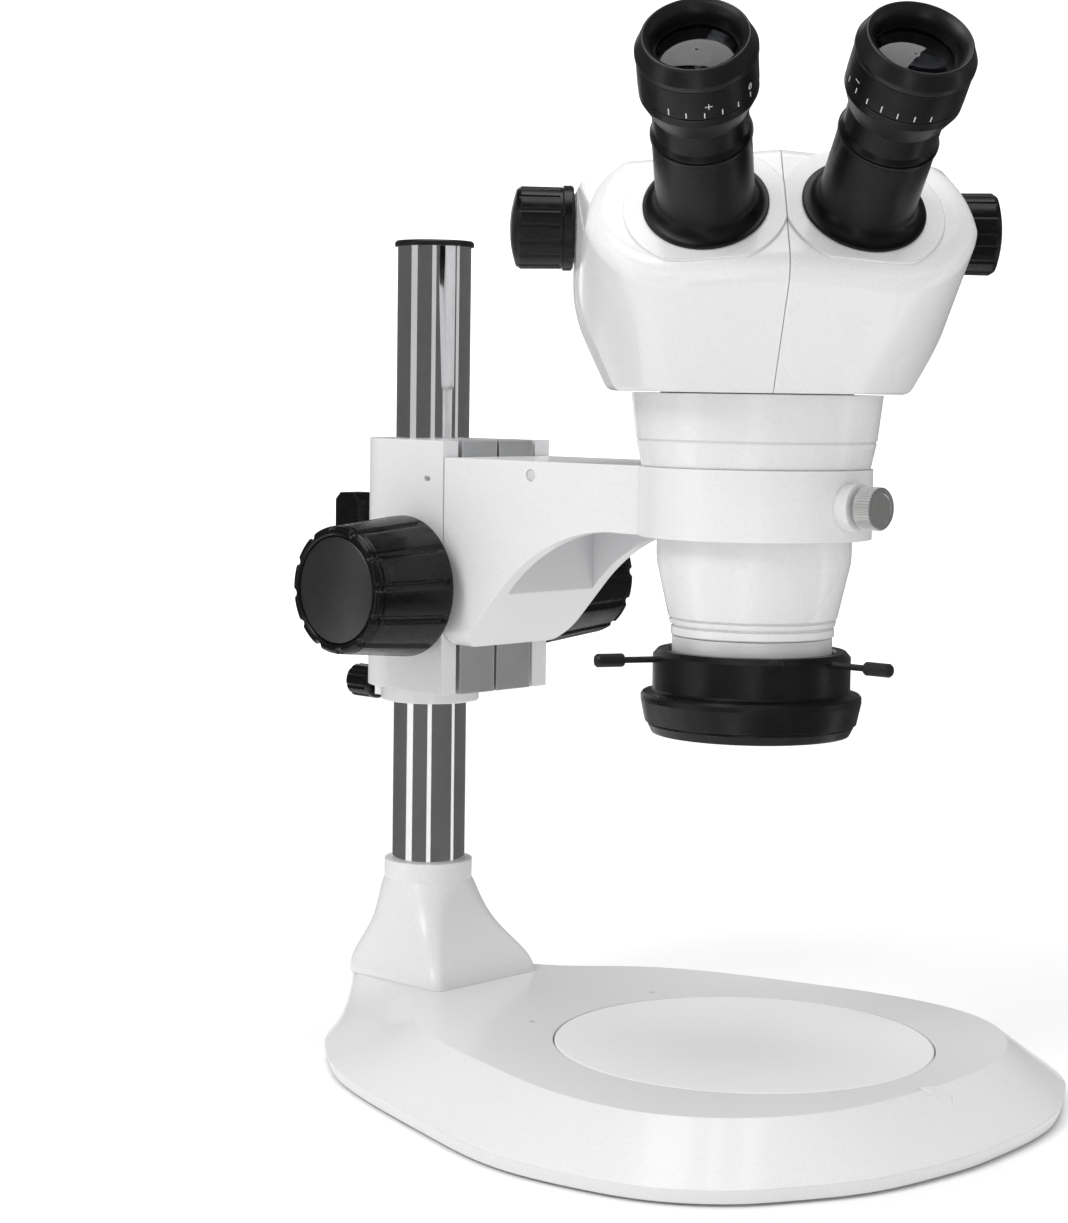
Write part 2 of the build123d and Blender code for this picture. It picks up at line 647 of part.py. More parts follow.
def zoom_shaft():
    return in_head(facing((0, ZOOM_Y, ZOOM_Z), (1, 0, 0), rod(3.0, -88, 88)))


def zoom_knob():
    """Fluted knob with a smooth collar, on +Z: base at 0."""
    base_r = ZOOM_R
    dome = dome_arc(ZOOM_R - 1.6, 22.4, 24.9)
    edge = Polyline((0, 0, 24.9), (0, 0, 16.5), (3.05, 0, 16.5), (3.05, 0, 0), (base_r - 0.8, 0, 0),
                    (base_r, 0, 0.8), (base_r, 0, 4.0), (base_r - 0.7, 0, 4.4), (base_r - 0.5, 0, 20.6),
                    (ZOOM_R - 1.6, 0, 22.4))
    body = revolve(make_face([dome, edge]), Axis.Z)
    groove = Pos(ZOOM_R + 0.45, 0, 5.4) * rod(1.5, 0, 30)
    for cut in ring_of(groove, 16):
        body -= cut
    return body


def on_zoom(side):
    turn = Rot(0, 90 * side, 0)
    return in_head(Pos(side * 71.8, ZOOM_Y, ZOOM_Z) * (turn * zoom_knob()))


# ---------------------------------------------------------------- eye tubes
def eye_tube():
    """Flared skirt, tube and spigot, on +Z from the sloping face."""
    skirt = ThreePointArc((22.2, 0, 1.0), (18.8, 0, 2.6), (TUBE_R, 0, 6.2))
    wall = Polyline((TUBE_R, 0, 6.2), (TUBE_R - 0.1, 0, 33.4), (TUBE_R + 0.4, 0, 34.2),
                    (TUBE_R + 0.4, 0, 35.0), (15.6, 0, 35.0), (15.6, 0, 34.0), (15.05, 0, 34.0),
                    (15.05, 0, 6.0), (9.0, 0, 6.0), (9.0, 0, -9.0), (10.7, 0, -9.0), (10.7, 0, 0.0),
                    (FLARE_R, 0, 0.0), (FLARE_R, 0, 0.7), (22.2, 0, 1.0))
    return revolve(make_face([skirt, wall]), Axis.Z)


def prism_box():
    """Image-erecting prism housing under the face; it turns on a pivot with the tube."""
    box = bar(-13, 12, -11, 11, -27.0, -9.0)
    box = fillet(box.edges().filter_by(Axis.Z), 3)
    box -= rod(8.0, -24, 0)
    return box


def eyepiece():
    """Barrel that drops into the tube, body and fixed part of the dioptre scale."""
    return turned((12.6, 9.0), (15.0, 9.0), (15.0, 34.9), (15.4, 35.2), (17.3, 35.2), (17.3, 36.0),
                  (16.7, 38), (16.7, 46), (20.5, 54.6), (20.5, 57.7), (18.0, 57.7), (18.0, 74.0),
                  (16.2, 74.0), (16.2, 61.0), (12.6, 58.0))


def diopter_ring():
    return turned((18.05, 58.0), (20.4, 58.0), (20.6, 58.4), (20.6, 69.6), (20.3, 69.9), (18.05, 69.9))


def eyecup():
    """Rubber cup: conical outside, dished inside."""
    bowl = ThreePointArc((17.4, 0, 77.2), (15.4, 0, 75.4), (14.4, 0, 72.0))
    rim = ThreePointArc((18.6, 0, 76.8), (18.1, 0, 77.5), (17.4, 0, 77.2))
    wall = Polyline((14.4, 0, 72.0), (14.4, 0, 70.2), (16.1, 0, 70.2), (16.1, 0, 74.1), (18.05, 0, 74.1),
                    (18.05, 0, 70.2), (20.9, 0, 70.2), (20.9, 0, 72.0), (18.6, 0, 76.8))
    return revolve(make_face([bowl, rim, wall]), Axis.Z)


def eye_lenses():
    eye_glass = Pos(0, 0, 67.5) * lens(14.0, 3.0, 1.6)
    cell = Pos(0, 0, 67.5) * pipe(16.15, 14.02, -2.6, 2.6)
    field_glass = Pos(0, 0, 30) * lens(12.5, 2.5, 0.8)
    return solids([eye_glass, field_glass]), cell


def eye_pair(shape):
    """Left and right copies of an eye-tube part that was made on +Z."""
    right = eye_plane() * shape
    return in_head(mirrored(right)), in_head(right)


# ---------------------------------------------------------------- auxiliary lens and ring light
def aux_lens_ring():
    ring = turned((28.5, AUX_BOTTOM), (30.9, AUX_BOTTOM), (AUX_R, AUX_BOTTOM + 0.4),
                  (AUX_R, AUX_TOP - 0.4), (30.9, AUX_TOP), (26.0, AUX_TOP), (26.0, AUX_TOP - 1.2),
                  (28.5, AUX_TOP - 1.2))
    return ring


def aux_lens_glass():
    return Pos(0, 0, 177.5) * lens(28.45, 5.0, 1.6)


def light_housing():
    """Annular housing: neck with three screws, wider drum below, lamp channel open downwards."""
    body = turned(
        (LIGHT_BORE, 170.0), (LIGHT_BORE, LIGHT_TOP - 1), (33.2, LIGHT_TOP), (36.8, LIGHT_TOP),
        (38.7, LIGHT_TOP - 2.2), (38.7, 166.2), (39.2, 165.6), (42.4, 164.6), (43.2, 163.6),
        (43.2, 161.6), (41.4, 153.2), (40.3, 152.8), (40.3, 152.0), (39.0, 149.3), (38.6, LIGHT_BOTTOM),
        (37.6, LIGHT_BOTTOM), (37.6, 162.0), (28.2, 162.0), (28.2, LIGHT_BOTTOM), (27.0, LIGHT_BOTTOM),
        (26.4, 149.4), (26.4, 168.0), (28.4, 170.0))
    for angle in LIGHT_SCREW_ANGLES:
        hole = facing((0, 0, LIGHT_SCREW_Z), (cos(radians(angle)), sin(radians(angle)), 0), rod(1.3, 25, 45))
        body -= hole
    inlet = facing((0, 0, 157.2), (cos(radians(INLET_ANGLE)), sin(radians(INLET_ANGLE)), 0), rod(3.0, 34, 50))
    return body - inlet


def light_board():
    return pipe(37.4, 28.4, 160.2, 161.8)


def light_leds():
    bulb = turned((0, 155.4), (1.2, 155.8), (2.0, 156.8), (2.0, 160.2), (0, 160.2))
    return solids(ring_of(Pos(33.0, 0, 0) * bulb, LED_COUNT))


def light_window():
    return pipe(37.5, 28.3, 150.2, 152.0)


def light_screw(angle):
    """Thumb screw of the ring light: thin stem, cylindrical head."""
    stem = rod(1.25, 31.6, 54)
    head = turned((0, 53.6), (2.3, 53.6), (2.65, 54.2), (2.65, 64.2), (2.1, 65.0), (0, 65.0))
    direction = (cos(radians(angle)), sin(radians(angle)), 0)
    return facing((0, 0, LIGHT_SCREW_Z), direction, stem + head)


def light_inlet():
    gland = turned((0, 35.0), (2.9, 35.0), (2.9, 43.5), (4.6, 43.5), (4.6, 45.4), (3.6, 46.0),
                   (3.2, 52.6), (CORD_R, 52.6), (CORD_R, 46.0), (0, 46.0))
    direction = (cos(radians(INLET_ANGLE)), sin(radians(INLET_ANGLE)), 0)
    return facing((0, 0, 157.2), direction, gland)


# ---------------------------------------------------------------- parts
def parts():
    knob = focus_knob()
    cap = focus_knob_cap()
    shell = head_shell()
    tubes = eye_pair(eye_tube())
    prisms = eye_pair(prism_box())
    glass, cell = eye_lenses()
    eyepieces = eye_pair(eyepiece() + cell)
    rings = eye_pair(diopter_ring())
    cups = eye_pair(eyecup())
    lenses = eye_pair(glass)
    return {
        "base": base(),
        "bottom_plate": bottom_plate(),
        "rubber_feet": rubber_feet(),
        "stage_plate": stage_plate(),
        "foot": foot(),
        "foot_screws": foot_screws(),
        "post": post(),
        "post_cap": post_cap(),
        "post_bolt": post_bolt(),
        "safety_collar": safety_collar(),
        "collar_knob": collar_knob(),
        "focus_block": focus_block(),
        "block_clamp_knob": block_clamp_knob(),
        "shaft_bushes": shaft_bushes(),
        "pinion_shaft": pinion_shaft(),
        "focus_knob_left": on_shaft(-1, knob),
        "focus_knob_right": on_shaft(1, knob),
        "focus_knob_caps": solids([on_shaft(-1, cap), on_shaft(1, cap)]),
        "slide_rails": slide_rails(),
        "focus_rack": focus_rack(),
        "rail_screws": rail_screws(),
        "arm": arm(),
        "arm_plugs": arm_plugs(),
        "ring_screw": ring_screw(),
        "barrel": barrel(),
        "guide_rods": guide_rods(),
        "objective_cell": objective_cell(),
        "objective_lenses": objective_lenses(),
        "zoom_carrier_lower": zoom_carrier(220),
        "zoom_carrier_upper": zoom_carrier(254),
        "zoom_lenses_lower": zoom_lenses(220),
        "zoom_lenses_upper": zoom_lenses(254),
        "head_frame": head_frame(),
        "head_shell_left": in_head(mirrored(shell)),
        "head_shell_right": in_head(shell),
        "zoom_shaft": zoom_shaft(),
        "zoom_knob_left": on_zoom(-1),
        "zoom_knob_right": on_zoom(1),
        "eye_tube_left": tubes[0],
        "eye_tube_right": tubes[1],
        "prism_box_left": prisms[0],
        "prism_box_right": prisms[1],
        "eyepiece_left": eyepieces[0],
        "eyepiece_right": eyepieces[1],
        "diopter_ring_left": rings[0],
        "diopter_ring_right": rings[1],
        "eyecup_left": cups[0],
        "eyecup_right": cups[1],
        "eye_lenses_left": lenses[0],
        "eye_lenses_right": lenses[1],
        "aux_lens_ring": aux_lens_ring(),
        "aux_lens_glass": aux_lens_glass(),
        "light_housing": light_housing(),
        "light_board": light_board(),
        "light_leds": light_leds(),
        "light_window": light_window(),
        "light_screw_left": light_screw(LIGHT_SCREW_ANGLES[0]),
        "light_screw_right": light_screw(LIGHT_SCREW_ANGLES[1]),
        "light_screw_rear": light_screw(LIGHT_SCREW_ANGLES[2]),
        "light_inlet": light_inlet(),
    }


os.makedirs("parts", exist_ok=True)
for node, shape in parts().items():
    pieces = shape.solids()
    export_step(Compound(children=pieces) if len(pieces) > 1 else pieces[0], f"parts/{node}.step")
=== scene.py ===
"""Stereo microscope on a post stand: materials, details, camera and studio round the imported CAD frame."""
import json
import math

import bmesh
import bpy
from mathutils import Matrix, Vector


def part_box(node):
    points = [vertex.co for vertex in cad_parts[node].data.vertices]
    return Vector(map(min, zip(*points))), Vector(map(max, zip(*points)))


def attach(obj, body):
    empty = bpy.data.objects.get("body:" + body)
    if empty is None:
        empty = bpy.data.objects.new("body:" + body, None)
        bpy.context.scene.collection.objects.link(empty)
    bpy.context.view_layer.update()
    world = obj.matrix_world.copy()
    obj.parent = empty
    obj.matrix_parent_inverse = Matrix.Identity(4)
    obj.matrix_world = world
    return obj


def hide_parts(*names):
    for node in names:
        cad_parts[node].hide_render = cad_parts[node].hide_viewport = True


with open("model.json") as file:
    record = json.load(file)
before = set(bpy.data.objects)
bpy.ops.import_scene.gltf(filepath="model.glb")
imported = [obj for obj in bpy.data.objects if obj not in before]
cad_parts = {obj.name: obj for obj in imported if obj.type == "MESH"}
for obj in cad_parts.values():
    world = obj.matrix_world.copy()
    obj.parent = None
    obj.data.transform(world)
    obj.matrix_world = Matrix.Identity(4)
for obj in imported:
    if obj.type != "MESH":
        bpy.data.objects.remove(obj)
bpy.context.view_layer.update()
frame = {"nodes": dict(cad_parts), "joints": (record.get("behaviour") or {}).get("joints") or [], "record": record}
RECORD = frame["record"]
JOINTS = {joint["name"]: joint for joint in frame["joints"]}
NODES = frame["nodes"]
MM = 0.001


# ---------------------------------------------------------------- camera
CAMERA_AT = Vector((-0.78580, -0.62534, 0.28306))
CAMERA_AZIMUTH = math.radians(-46.606)
CAMERA_ELEVATION = math.radians(5.020)
CAMERA_ROLL = math.radians(0.804)
CAMERA_LENS = 75.59


def make_camera():
    """Camera that looks back along its own azimuth and elevation, rolled a little about the line of sight."""
    az, el = CAMERA_AZIMUTH, CAMERA_ELEVATION
    back = Vector((math.sin(az) * math.cos(el), -math.cos(az) * math.cos(el), math.sin(el)))
    level = Vector((math.cos(az), math.sin(az), 0))
    rise = back.cross(level)
    c, s = math.cos(CAMERA_ROLL), math.sin(CAMERA_ROLL)
    right = level * c + rise * s
    up = rise * c - level * s
    data = bpy.data.cameras.new("camera")
    data.lens = CAMERA_LENS
    data.sensor_width = 36
    data.sensor_fit = "AUTO"
    data.clip_start, data.clip_end = 0.05, 60
    camera = bpy.data.objects.new("camera", data)
    turn = Matrix((right, up, back)).transposed().to_4x4()
    camera.matrix_world = Matrix.Translation(CAMERA_AT) @ turn
    bpy.context.scene.collection.objects.link(camera)
    bpy.context.scene.camera = camera


# ---------------------------------------------------------------- materials
class Finish:
    """One Principled material, with texture nodes added in object space, where a unit is a metre."""

    def __init__(self, name, color, metallic=0.0, roughness=0.4, **sockets):
        self.material = bpy.data.materials.new(name)
        self.material.use_nodes = True
        self.tree = self.material.node_tree
        self.shader = self.tree.nodes["Principled BSDF"]
        self.shader.inputs["Base Color"].default_value = (*color, 1)
        self.shader.inputs["Metallic"].default_value = metallic
        self.shader.inputs["Roughness"].default_value = roughness
        for socket, value in sockets.items():
            self.shader.inputs[socket.replace("_", " ")].default_value = value
        self.place = self.node("ShaderNodeTexCoord").outputs["Object"]
        self.last_bump = None

    def node(self, kind, **values):
        made = self.tree.nodes.new(kind)
        for name, value in values.items():
            setattr(made, name, value)
        return made

    def link(self, source, target):
        self.tree.links.new(source, target)

    def stretched(self, scale):
        mapping = self.node("ShaderNodeMapping")
        mapping.inputs["Scale"].default_value = scale
        self.link(self.place, mapping.inputs["Vector"])
        return mapping.outputs["Vector"]

    def noise(self, size, detail=3.0, rough=0.55, stretch=None):
        """Noise whose features are about size metres across; stretch scales it along X, Y and Z."""
        made = self.node("ShaderNodeTexNoise")
        made.inputs["Scale"].default_value = 1 / size
        made.inputs["Detail"].default_value = detail
        made.inputs["Roughness"].default_value = rough
        self.link(self.stretched(stretch) if stretch else self.place, made.inputs["Vector"])
        return made.outputs["Fac"]

    def spread(self, value, low, high, start=0.3, end=0.7):
        """Values from start to end mapped to low to high."""
        made = self.node("ShaderNodeMapRange")
        for name, number in (("From Min", start), ("From Max", end), ("To Min", low), ("To Max", high)):
            made.inputs[name].default_value = number
        self.link(value, made.inputs["Value"])
        return made.outputs["Result"]

    def mix(self, fac, first, second):
        made = self.node("ShaderNodeMix", data_type="RGBA")
        self.link(fac, made.inputs["Factor"])
        for socket, color in ((made.inputs[6], first), (made.inputs[7], second)):
            if isinstance(color, bpy.types.NodeSocket):
                self.link(color, socket)
            else:
                socket.default_value = (*color, 1)
        return made.outputs[2]

    def color(self, source):
        self.link(source, self.shader.inputs["Base Color"])

    def rough(self, source):
        self.link(source, self.shader.inputs["Roughness"])

    def bump(self, height, distance, strength=1.0):
        made = self.node("ShaderNodeBump")
        made.inputs["Strength"].default_value = strength
        made.inputs["Distance"].default_value = distance
        self.link(height, made.inputs["Height"])
        if self.last_bump:
            self.link(self.last_bump, made.inputs["Normal"])
        self.last_bump = made.outputs["Normal"]
        self.link(self.last_bump, self.shader.inputs["Normal"])

    def soften(self, radius):
        """Normals rounded over sharp edges, as castings and mouldings have them."""
        made = self.node("ShaderNodeBevel", samples=4)
        made.inputs["Radius"].default_value = radius
        self.last_bump = made.outputs["Normal"]

    def edges(self, width):
        """White along convex edges, for wear and polish."""
        made = self.node("ShaderNodeAmbientOcclusion", samples=6, inside=True, only_local=True)
        made.inputs["Distance"].default_value = width
        return self.spread(made.outputs["AO"], 1.0, 0.0, 0.55, 0.95)


def scaled(color, factor):
    return tuple(min(1.0, channel * factor) for channel in color)


def paint(name, color, gloss=0.28, grain=0.55, peel=0.000018):
    """Sprayed enamel: slight orange peel, fine powder grain, faint cloudiness and thinner edges."""
    finish = Finish(name, color, roughness=gloss, Coat_Weight=0.35, Coat_Roughness=0.12)
    finish.soften(0.0009)
    cloud = finish.noise(0.06, 1)
    base = finish.mix(cloud, scaled(color, 0.99), scaled(color, 1.01))
    speck = finish.spread(finish.noise(0.0009, 2), 0.0, 1.0, 0.35, 0.70)
    base = finish.mix(speck, base, scaled(color, 0.945))
    edge = finish.edges(0.0012)
    finish.color(finish.mix(edge, base, scaled(color, 1.04)))
    smudge = finish.noise(0.04, 1)
    finish.rough(finish.spread(smudge, gloss - 0.03, gloss + 0.05, 0.0, 1.0))
    finish.bump(finish.noise(0.0030, 2), peel, 0.5)
    finish.bump(finish.noise(0.0006, 3, 0.6), 0.000006, grain)
    return finish.material


def moulded(name, color, gloss, grain=0.00001, size=0.0007, level=0.5):
    """Moulded black plastic or rubber: fine grain, patches of dust, edges polished by hands."""
    finish = Finish(name, color, roughness=gloss, Specular_IOR_Level=level)
    finish.soften(0.0004)
    dust = finish.spread(finish.noise(0.006, 6, 0.7), 0.0, 1.0, 0.45, 0.75)
    base = finish.mix(dust, color, tuple(c * 1.25 + 0.0008 for c in color))
    edge = finish.edges(0.0009)
    finish.color(finish.mix(edge, base, tuple(c * 1.7 + 0.003 for c in color)))
    finish.rough(finish.spread(finish.noise(0.011, 4, 0.6), gloss - 0.04, gloss + 0.07))
    finish.bump(finish.noise(size, 3, 0.6), grain, 0.6)
    return finish.material


def anodised(name, color, gloss):
    """Bead-blasted, anodised aluminium with a faint haze and bright worn edges."""
    finish = Finish(name, color, metallic=0.55, roughness=gloss, Specular_IOR_Level=0.5)
    haze = finish.spread(finish.noise(0.008, 5, 0.65), 0.0, 1.0, 0.4, 0.75)
    base = finish.mix(haze, color, tuple(c * 1.3 + 0.003 for c in color))
    edge = finish.edges(0.0007)
    finish.color(finish.mix(edge, base, tuple(c * 2.2 + 0.012 for c in color)))
    finish.rough(finish.spread(finish.noise(0.013, 4), gloss - 0.05, gloss + 0.08))
    finish.bump(finish.noise(0.0004, 2), 0.000005, 0.5)
    return finish.material


# Noise squeezed along Z, which reads as fine lathe rings about it; the other squeezes it along X.
RINGS_ROUND_Z = (30, 30, 3000)
RINGS_ROUND_X = (900, 30, 30)


def turned_metal(name, color, gloss, stretch=RINGS_ROUND_Z):
    """Lathe-turned metal: fine rings along the stretched direction, cloudy sheen, bright edges."""
    finish = Finish(name, color, metallic=1.0, roughness=gloss, Anisotropic=0.35)
    rings = finish.noise(1.0, 4, 0.6, stretch)
    haze = finish.spread(finish.noise(0.010, 5), 0.0, 1.0)
    base = finish.mix(haze, scaled(color, 0.90), scaled(color, 1.05))
    base = finish.mix(finish.spread(rings, 0.0, 1.0), base, scaled(color, 0.80))
    finish.color(finish.mix(finish.edges(0.0006), base, scaled(color, 1.3)))
    finish.rough(finish.spread(rings, gloss - 0.05, gloss + 0.12))
    finish.bump(rings, 0.000004, 0.5)
    return finish.material


def brushed(name, color, gloss):
    """Satin aluminium skin with fine turning marks: half metal, half clear lacquer over a pale ground."""
    finish = Finish(name, color, metallic=0.45, roughness=gloss, Anisotropic=0.3)
    rings = finish.noise(1.0, 4, 0.6, RINGS_ROUND_Z)
    base = finish.mix(finish.spread(rings, 0.0, 1.0), color, scaled(color, 0.88))
    finish.color(finish.mix(finish.edges(0.0006), base, scaled(color, 1.1)))
    finish.rough(finish.spread(rings, gloss - 0.05, gloss + 0.12))
    finish.bump(rings, 0.000003, 0.5)
    return finish.material


def chrome(name, color):
    """Polished plating: mirror-smooth with faint drawing marks along the bar and light haze."""
    finish = Finish(name, color, metallic=1.0, roughness=0.05)
    drawn = finish.noise(1.0, 3, 0.5, (900, 900, 6))
    haze = finish.noise(0.02, 6, 0.7)
    finish.color(finish.mix(finish.spread(haze, 0, 1), scaled(color, 0.94), scaled(color, 1.04)))
    finish.rough(finish.spread(haze, 0.03, 0.09, 0.35, 0.75))
    finish.bump(drawn, 0.0000015, 0.35)
    return finish.material


def milled(name, color):
    """Grey bead-blasted milled aluminium."""
    finish = Finish(name, color, metallic=0.75, roughness=0.5)
    grain = finish.noise(0.0005, 3, 0.7)
    cloud = finish.spread(finish.noise(0.012, 4), 0.0, 1.0)
    base = finish.mix(cloud, scaled(color, 0.93), scaled(color, 1.05))
    base = finish.mix(finish.spread(grain, 0, 1, 0.35, 0.8), base, scaled(color, 0.82))
    finish.color(finish.mix(finish.edges(0.0007), base, scaled(color, 1.45)))
    finish.rough(finish.spread(grain, 0.42, 0.60))
    finish.bump(grain, 0.000012, 0.6)
    return finish.material


def glass(name, color, gloss=0.0):
    """Coated optical glass with faint cleaning smears."""
    finish = Finish(name, color, roughness=gloss, Transmission_Weight=1.0, IOR=1.52, Specular_IOR_Level=0.3)
    smear = finish.noise(0.005, 5, 0.6, (1, 1, 3))
    finish.rough(finish.spread(smear, gloss, gloss + 0.02, 0.5, 0.85))
    finish.color(finish.mix(finish.spread(smear, 0, 1), color, scaled(color, 0.93)))
    finish.bump(finish.noise(0.02, 1), 0.000001, 0.05)
    return finish.material


def lamp_glow(name, color):
    """Clear resin lamp with a yellow phosphor heart."""
    finish = Finish(name, color, roughness=0.12, Coat_Weight=0.5)
    heart = finish.spread(finish.noise(0.0016, 3), 0.0, 1.0)
    finish.color(finish.mix(heart, (0.92, 0.90, 0.78), (0.95, 0.82, 0.35)))
    finish.rough(finish.spread(finish.noise(0.002, 2), 0.08, 0.22))
    finish.bump(finish.noise(0.0008, 2), 0.00001, 0.3)
    return finish.material


WHITE = (0.80, 0.80, 0.81)

FINISHES = {
    "stand_paint": paint("stand_enamel", (0.79, 0.79, 0.80), 0.36, 0.8, 0.00003),
    "head_paint": paint("head_enamel", WHITE, 0.26),
    "barrel_paint": paint("barrel_enamel", WHITE, 0.26),
    "focus_paint": paint("focus_enamel", WHITE, 0.30),
    "paint_plug": paint("plug_enamel", (0.62, 0.62, 0.63), 0.35),
    "plate_steel": paint("underside_enamel", (0.10, 0.10, 0.105), 0.5),
    "stage_white": paint("stage_plastic", (0.95, 0.95, 0.955), 0.36, 0.5, 0.00001),
    "feet_rubber": moulded("feet_rubber", (0.02, 0.02, 0.02), 0.75, 0.00004, 0.001),
    "screw_steel": turned_metal("screw_steel", (0.45, 0.45, 0.46), 0.32),
    "post_chrome": chrome("post_chrome", (0.78, 0.78, 0.79)),
    "black_plastic": moulded("black_plastic", (0.006, 0.006, 0.0065), 0.36, level=0.35),
    "knob_black": moulded("knob_plastic", (0.003, 0.003, 0.0033), 0.25, 0.000004, level=0.28),
    "knob_cap": moulded("cap_plastic", (0.013, 0.013, 0.0135), 0.40, 0.00001, 0.0005, level=0.7),
    "bearing_brass": turned_metal("bearing_brass", (0.62, 0.46, 0.20), 0.35),
    "shaft_steel": turned_metal("shaft_steel", (0.60, 0.60, 0.61), 0.22),
    "rail_aluminium": milled("rail_aluminium", (0.52, 0.525, 0.53)),
    "thumbscrew_steel": turned_metal("thumbscrew_steel", (0.66, 0.66, 0.65), 0.30, RINGS_ROUND_X),
    "inner_black": anodised("inner_black", (0.015, 0.015, 0.015), 0.7),
    "frame_aluminium": milled("frame_aluminium", (0.50, 0.50, 0.51)),
    "lens_glass": glass("lens_glass", (0.80, 0.86, 0.90)),
    # Eye lens glass tinted near black: painted shade for the dark inside of the eyepiece, which clear glass would
    # otherwise show through.
    "eye_glass": glass("eye_glass", (0.10, 0.105, 0.12)),
    "tube_black": anodised("tube_black", (0.007, 0.007, 0.0075), 0.34),
    "scale_black": anodised("scale_black", (0.008, 0.008, 0.0085), 0.38),
    "cup_rubber": moulded("cup_rubber", (0.006, 0.006, 0.006), 0.34, 0.00001, level=0.45),
    "lens_ring_silver": brushed("lens_ring_silver", (0.90, 0.90, 0.89), 0.42),
    "lamp_black": anodised("lamp_black", (0.012, 0.012, 0.013), 0.30),
    "lamp_board": paint("lamp_board", (0.72, 0.72, 0.70), 0.5),
    "lamp_led": lamp_glow("lamp_led", (0.92, 0.90, 0.78)),
    "lamp_window": glass("lamp_window", (0.95, 0.95, 0.95), 0.1),
    "screw_black": anodised("screw_black", (0.020, 0.020, 0.021), 0.38),
}
MARK_WHITE = paint("mark_white", (0.80, 0.80, 0.80), 0.5, 0.3, 0.000004)


def dress_nodes():
    """Every CAD node gets the finish of its slot."""
    slots = {part["node"]: part["material_slot"] for part in RECORD["subparts"]}
    for name, node in NODES.items():
        node.data.materials.clear()
        node.data.materials.append(FINISHES[slots[name]])


# ---------------------------------------------------------------- mesh helpers
def add_mesh(name, bm, material, body, smooth_angle=35):
    mesh = bpy.data.meshes.new(name)
    bmesh.ops.recalc_face_normals(bm, faces=bm.faces)
    bm.to_mesh(mesh)
    bm.free()
    for polygon in mesh.polygons:
        polygon.use_smooth = True
    mesh.set_sharp_from_angle(angle=math.radians(smooth_angle))
    piece = bpy.data.objects.new(name, mesh)
    mesh.materials.append(material)
    bpy.context.scene.collection.objects.link(piece)
    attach(piece, body)
    return piece


# ---------------------------------------------------------------- focus knobs
FLUTES = 12
STEPS_PER_FLUTE = 24
FLUTE_PHASE = math.radians(-6)
FLUTE_DEPTH = 1.4 * MM
FLUTE_HALF = 1.8 * MM
KNOB_TAPER = 0.88          # outer radius over inner radius
CAP_SEAT_R = 22.4 * MM


def knob_profile(length, radius):
    """Closed section of a focus knob: distance along it, radius, and how deep the flutes are there."""
    slope = (1 - KNOB_TAPER) * radius / length

    def skin(along, inset=0.0):
        return radius - slope * along - inset

    rim = length - 4.2 * MM
    rows = [(0, 0.40 * radius, 0), (0, radius - 1.9 * MM, 0), (0.15 * MM, radius - 0.8 * MM, 0)]
    rows += [(0.7 * MM, radius - 0.15 * MM, 0), (1.6 * MM, skin(1.6 * MM), 0.1)]
    rows += [(3.0 * MM, skin(3.0 * MM), 0.75)]
    rows += [(4.5 * MM, skin(4.5 * MM), 1), (0.5 * length, skin(0.5 * length), 1), (rim, skin(rim), 1)]
    rows += [(rim + 0.5 * MM, skin(rim, 0.8 * MM), 1), (rim + 1.2 * MM, skin(rim, 0.8 * MM), 1)]
    rows += [(rim + 1.7 * MM, skin(rim, 0.1 * MM), 1), (rim + 3.0 * MM, skin(rim, 0.4 * MM), 1)]
    rows += [(rim + 3.8 * MM, skin(rim, 1.2 * MM), 1), (length, skin(rim, 2.4 * MM), 0.5)]
    rows += [(length - 0.2 * MM, CAP_SEAT_R + 0.7 * MM, 0), (length - 0.8 * MM, CAP_SEAT_R + 0.1 * MM, 0)]
    return rows + [(length - 6 * MM, CAP_SEAT_R, 0), (length - 6 * MM, 4.3 * MM, 0), (4 * MM, 4.3 * MM, 0),
                   (4 * MM, 0.40 * radius, 0)]


def flute(angle, radius):
    """Depth of a round-bottomed groove at an angle, from 0 on the land to 1 in the middle of the groove."""
    pitch = 2 * math.pi / FLUTES
    away = abs((angle - FLUTE_PHASE + pitch / 2) % pitch - pitch / 2) * radius / FLUTE_HALF
    return math.sqrt(1 - away * away) if away < 1 else 0.0


def focus_knob(side):
    """Tapered knob with round-bottomed flutes that cut its beaded rim, in place of the plain turned one."""
    node = f"focus_knob_{side}"
    low, high = (Vector(corner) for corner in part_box(node))
    centre = Vector(JOINTS["focus_knob_turn"]["pos_m"])
    axis = Vector(JOINTS["focus_knob_turn"]["axis"]).normalized()
    length = high.x - low.x
    radius = (high.z - low.z) / 2
    outwards = 1 if (low + high).x > 0 else -1
    start = low.x if outwards > 0 else high.x
    up = Vector((0, 0, 1))
    across = axis.cross(up)
    bm = bmesh.new()
    rows = []
    count = FLUTES * STEPS_PER_FLUTE
    for along, ring, depth in knob_profile(length, radius):
        row = []
        for i in range(count):
            angle = 2 * math.pi * i / count
            r = ring - depth * FLUTE_DEPTH * flute(angle, ring)
            out = up * math.cos(angle) + across * math.sin(angle)
            row.append(bm.verts.new(centre + axis * (start + outwards * along) + out * r))
        rows.append(row)
    for first, second in zip(rows, rows[1:] + rows[:1]):
        for i in range(count):
            j = (i + 1) % count
            bm.faces.new((first[i], first[j], second[j], second[i]))
    knob = add_mesh(f"fluted_{node}", bm, FINISHES["knob_black"], "focus_shaft", 40)
    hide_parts(node)


# ---------------------------------------------------------------- eyepiece scales
MARK_PROUD = 0.00006
RING_R = 20.6 * MM


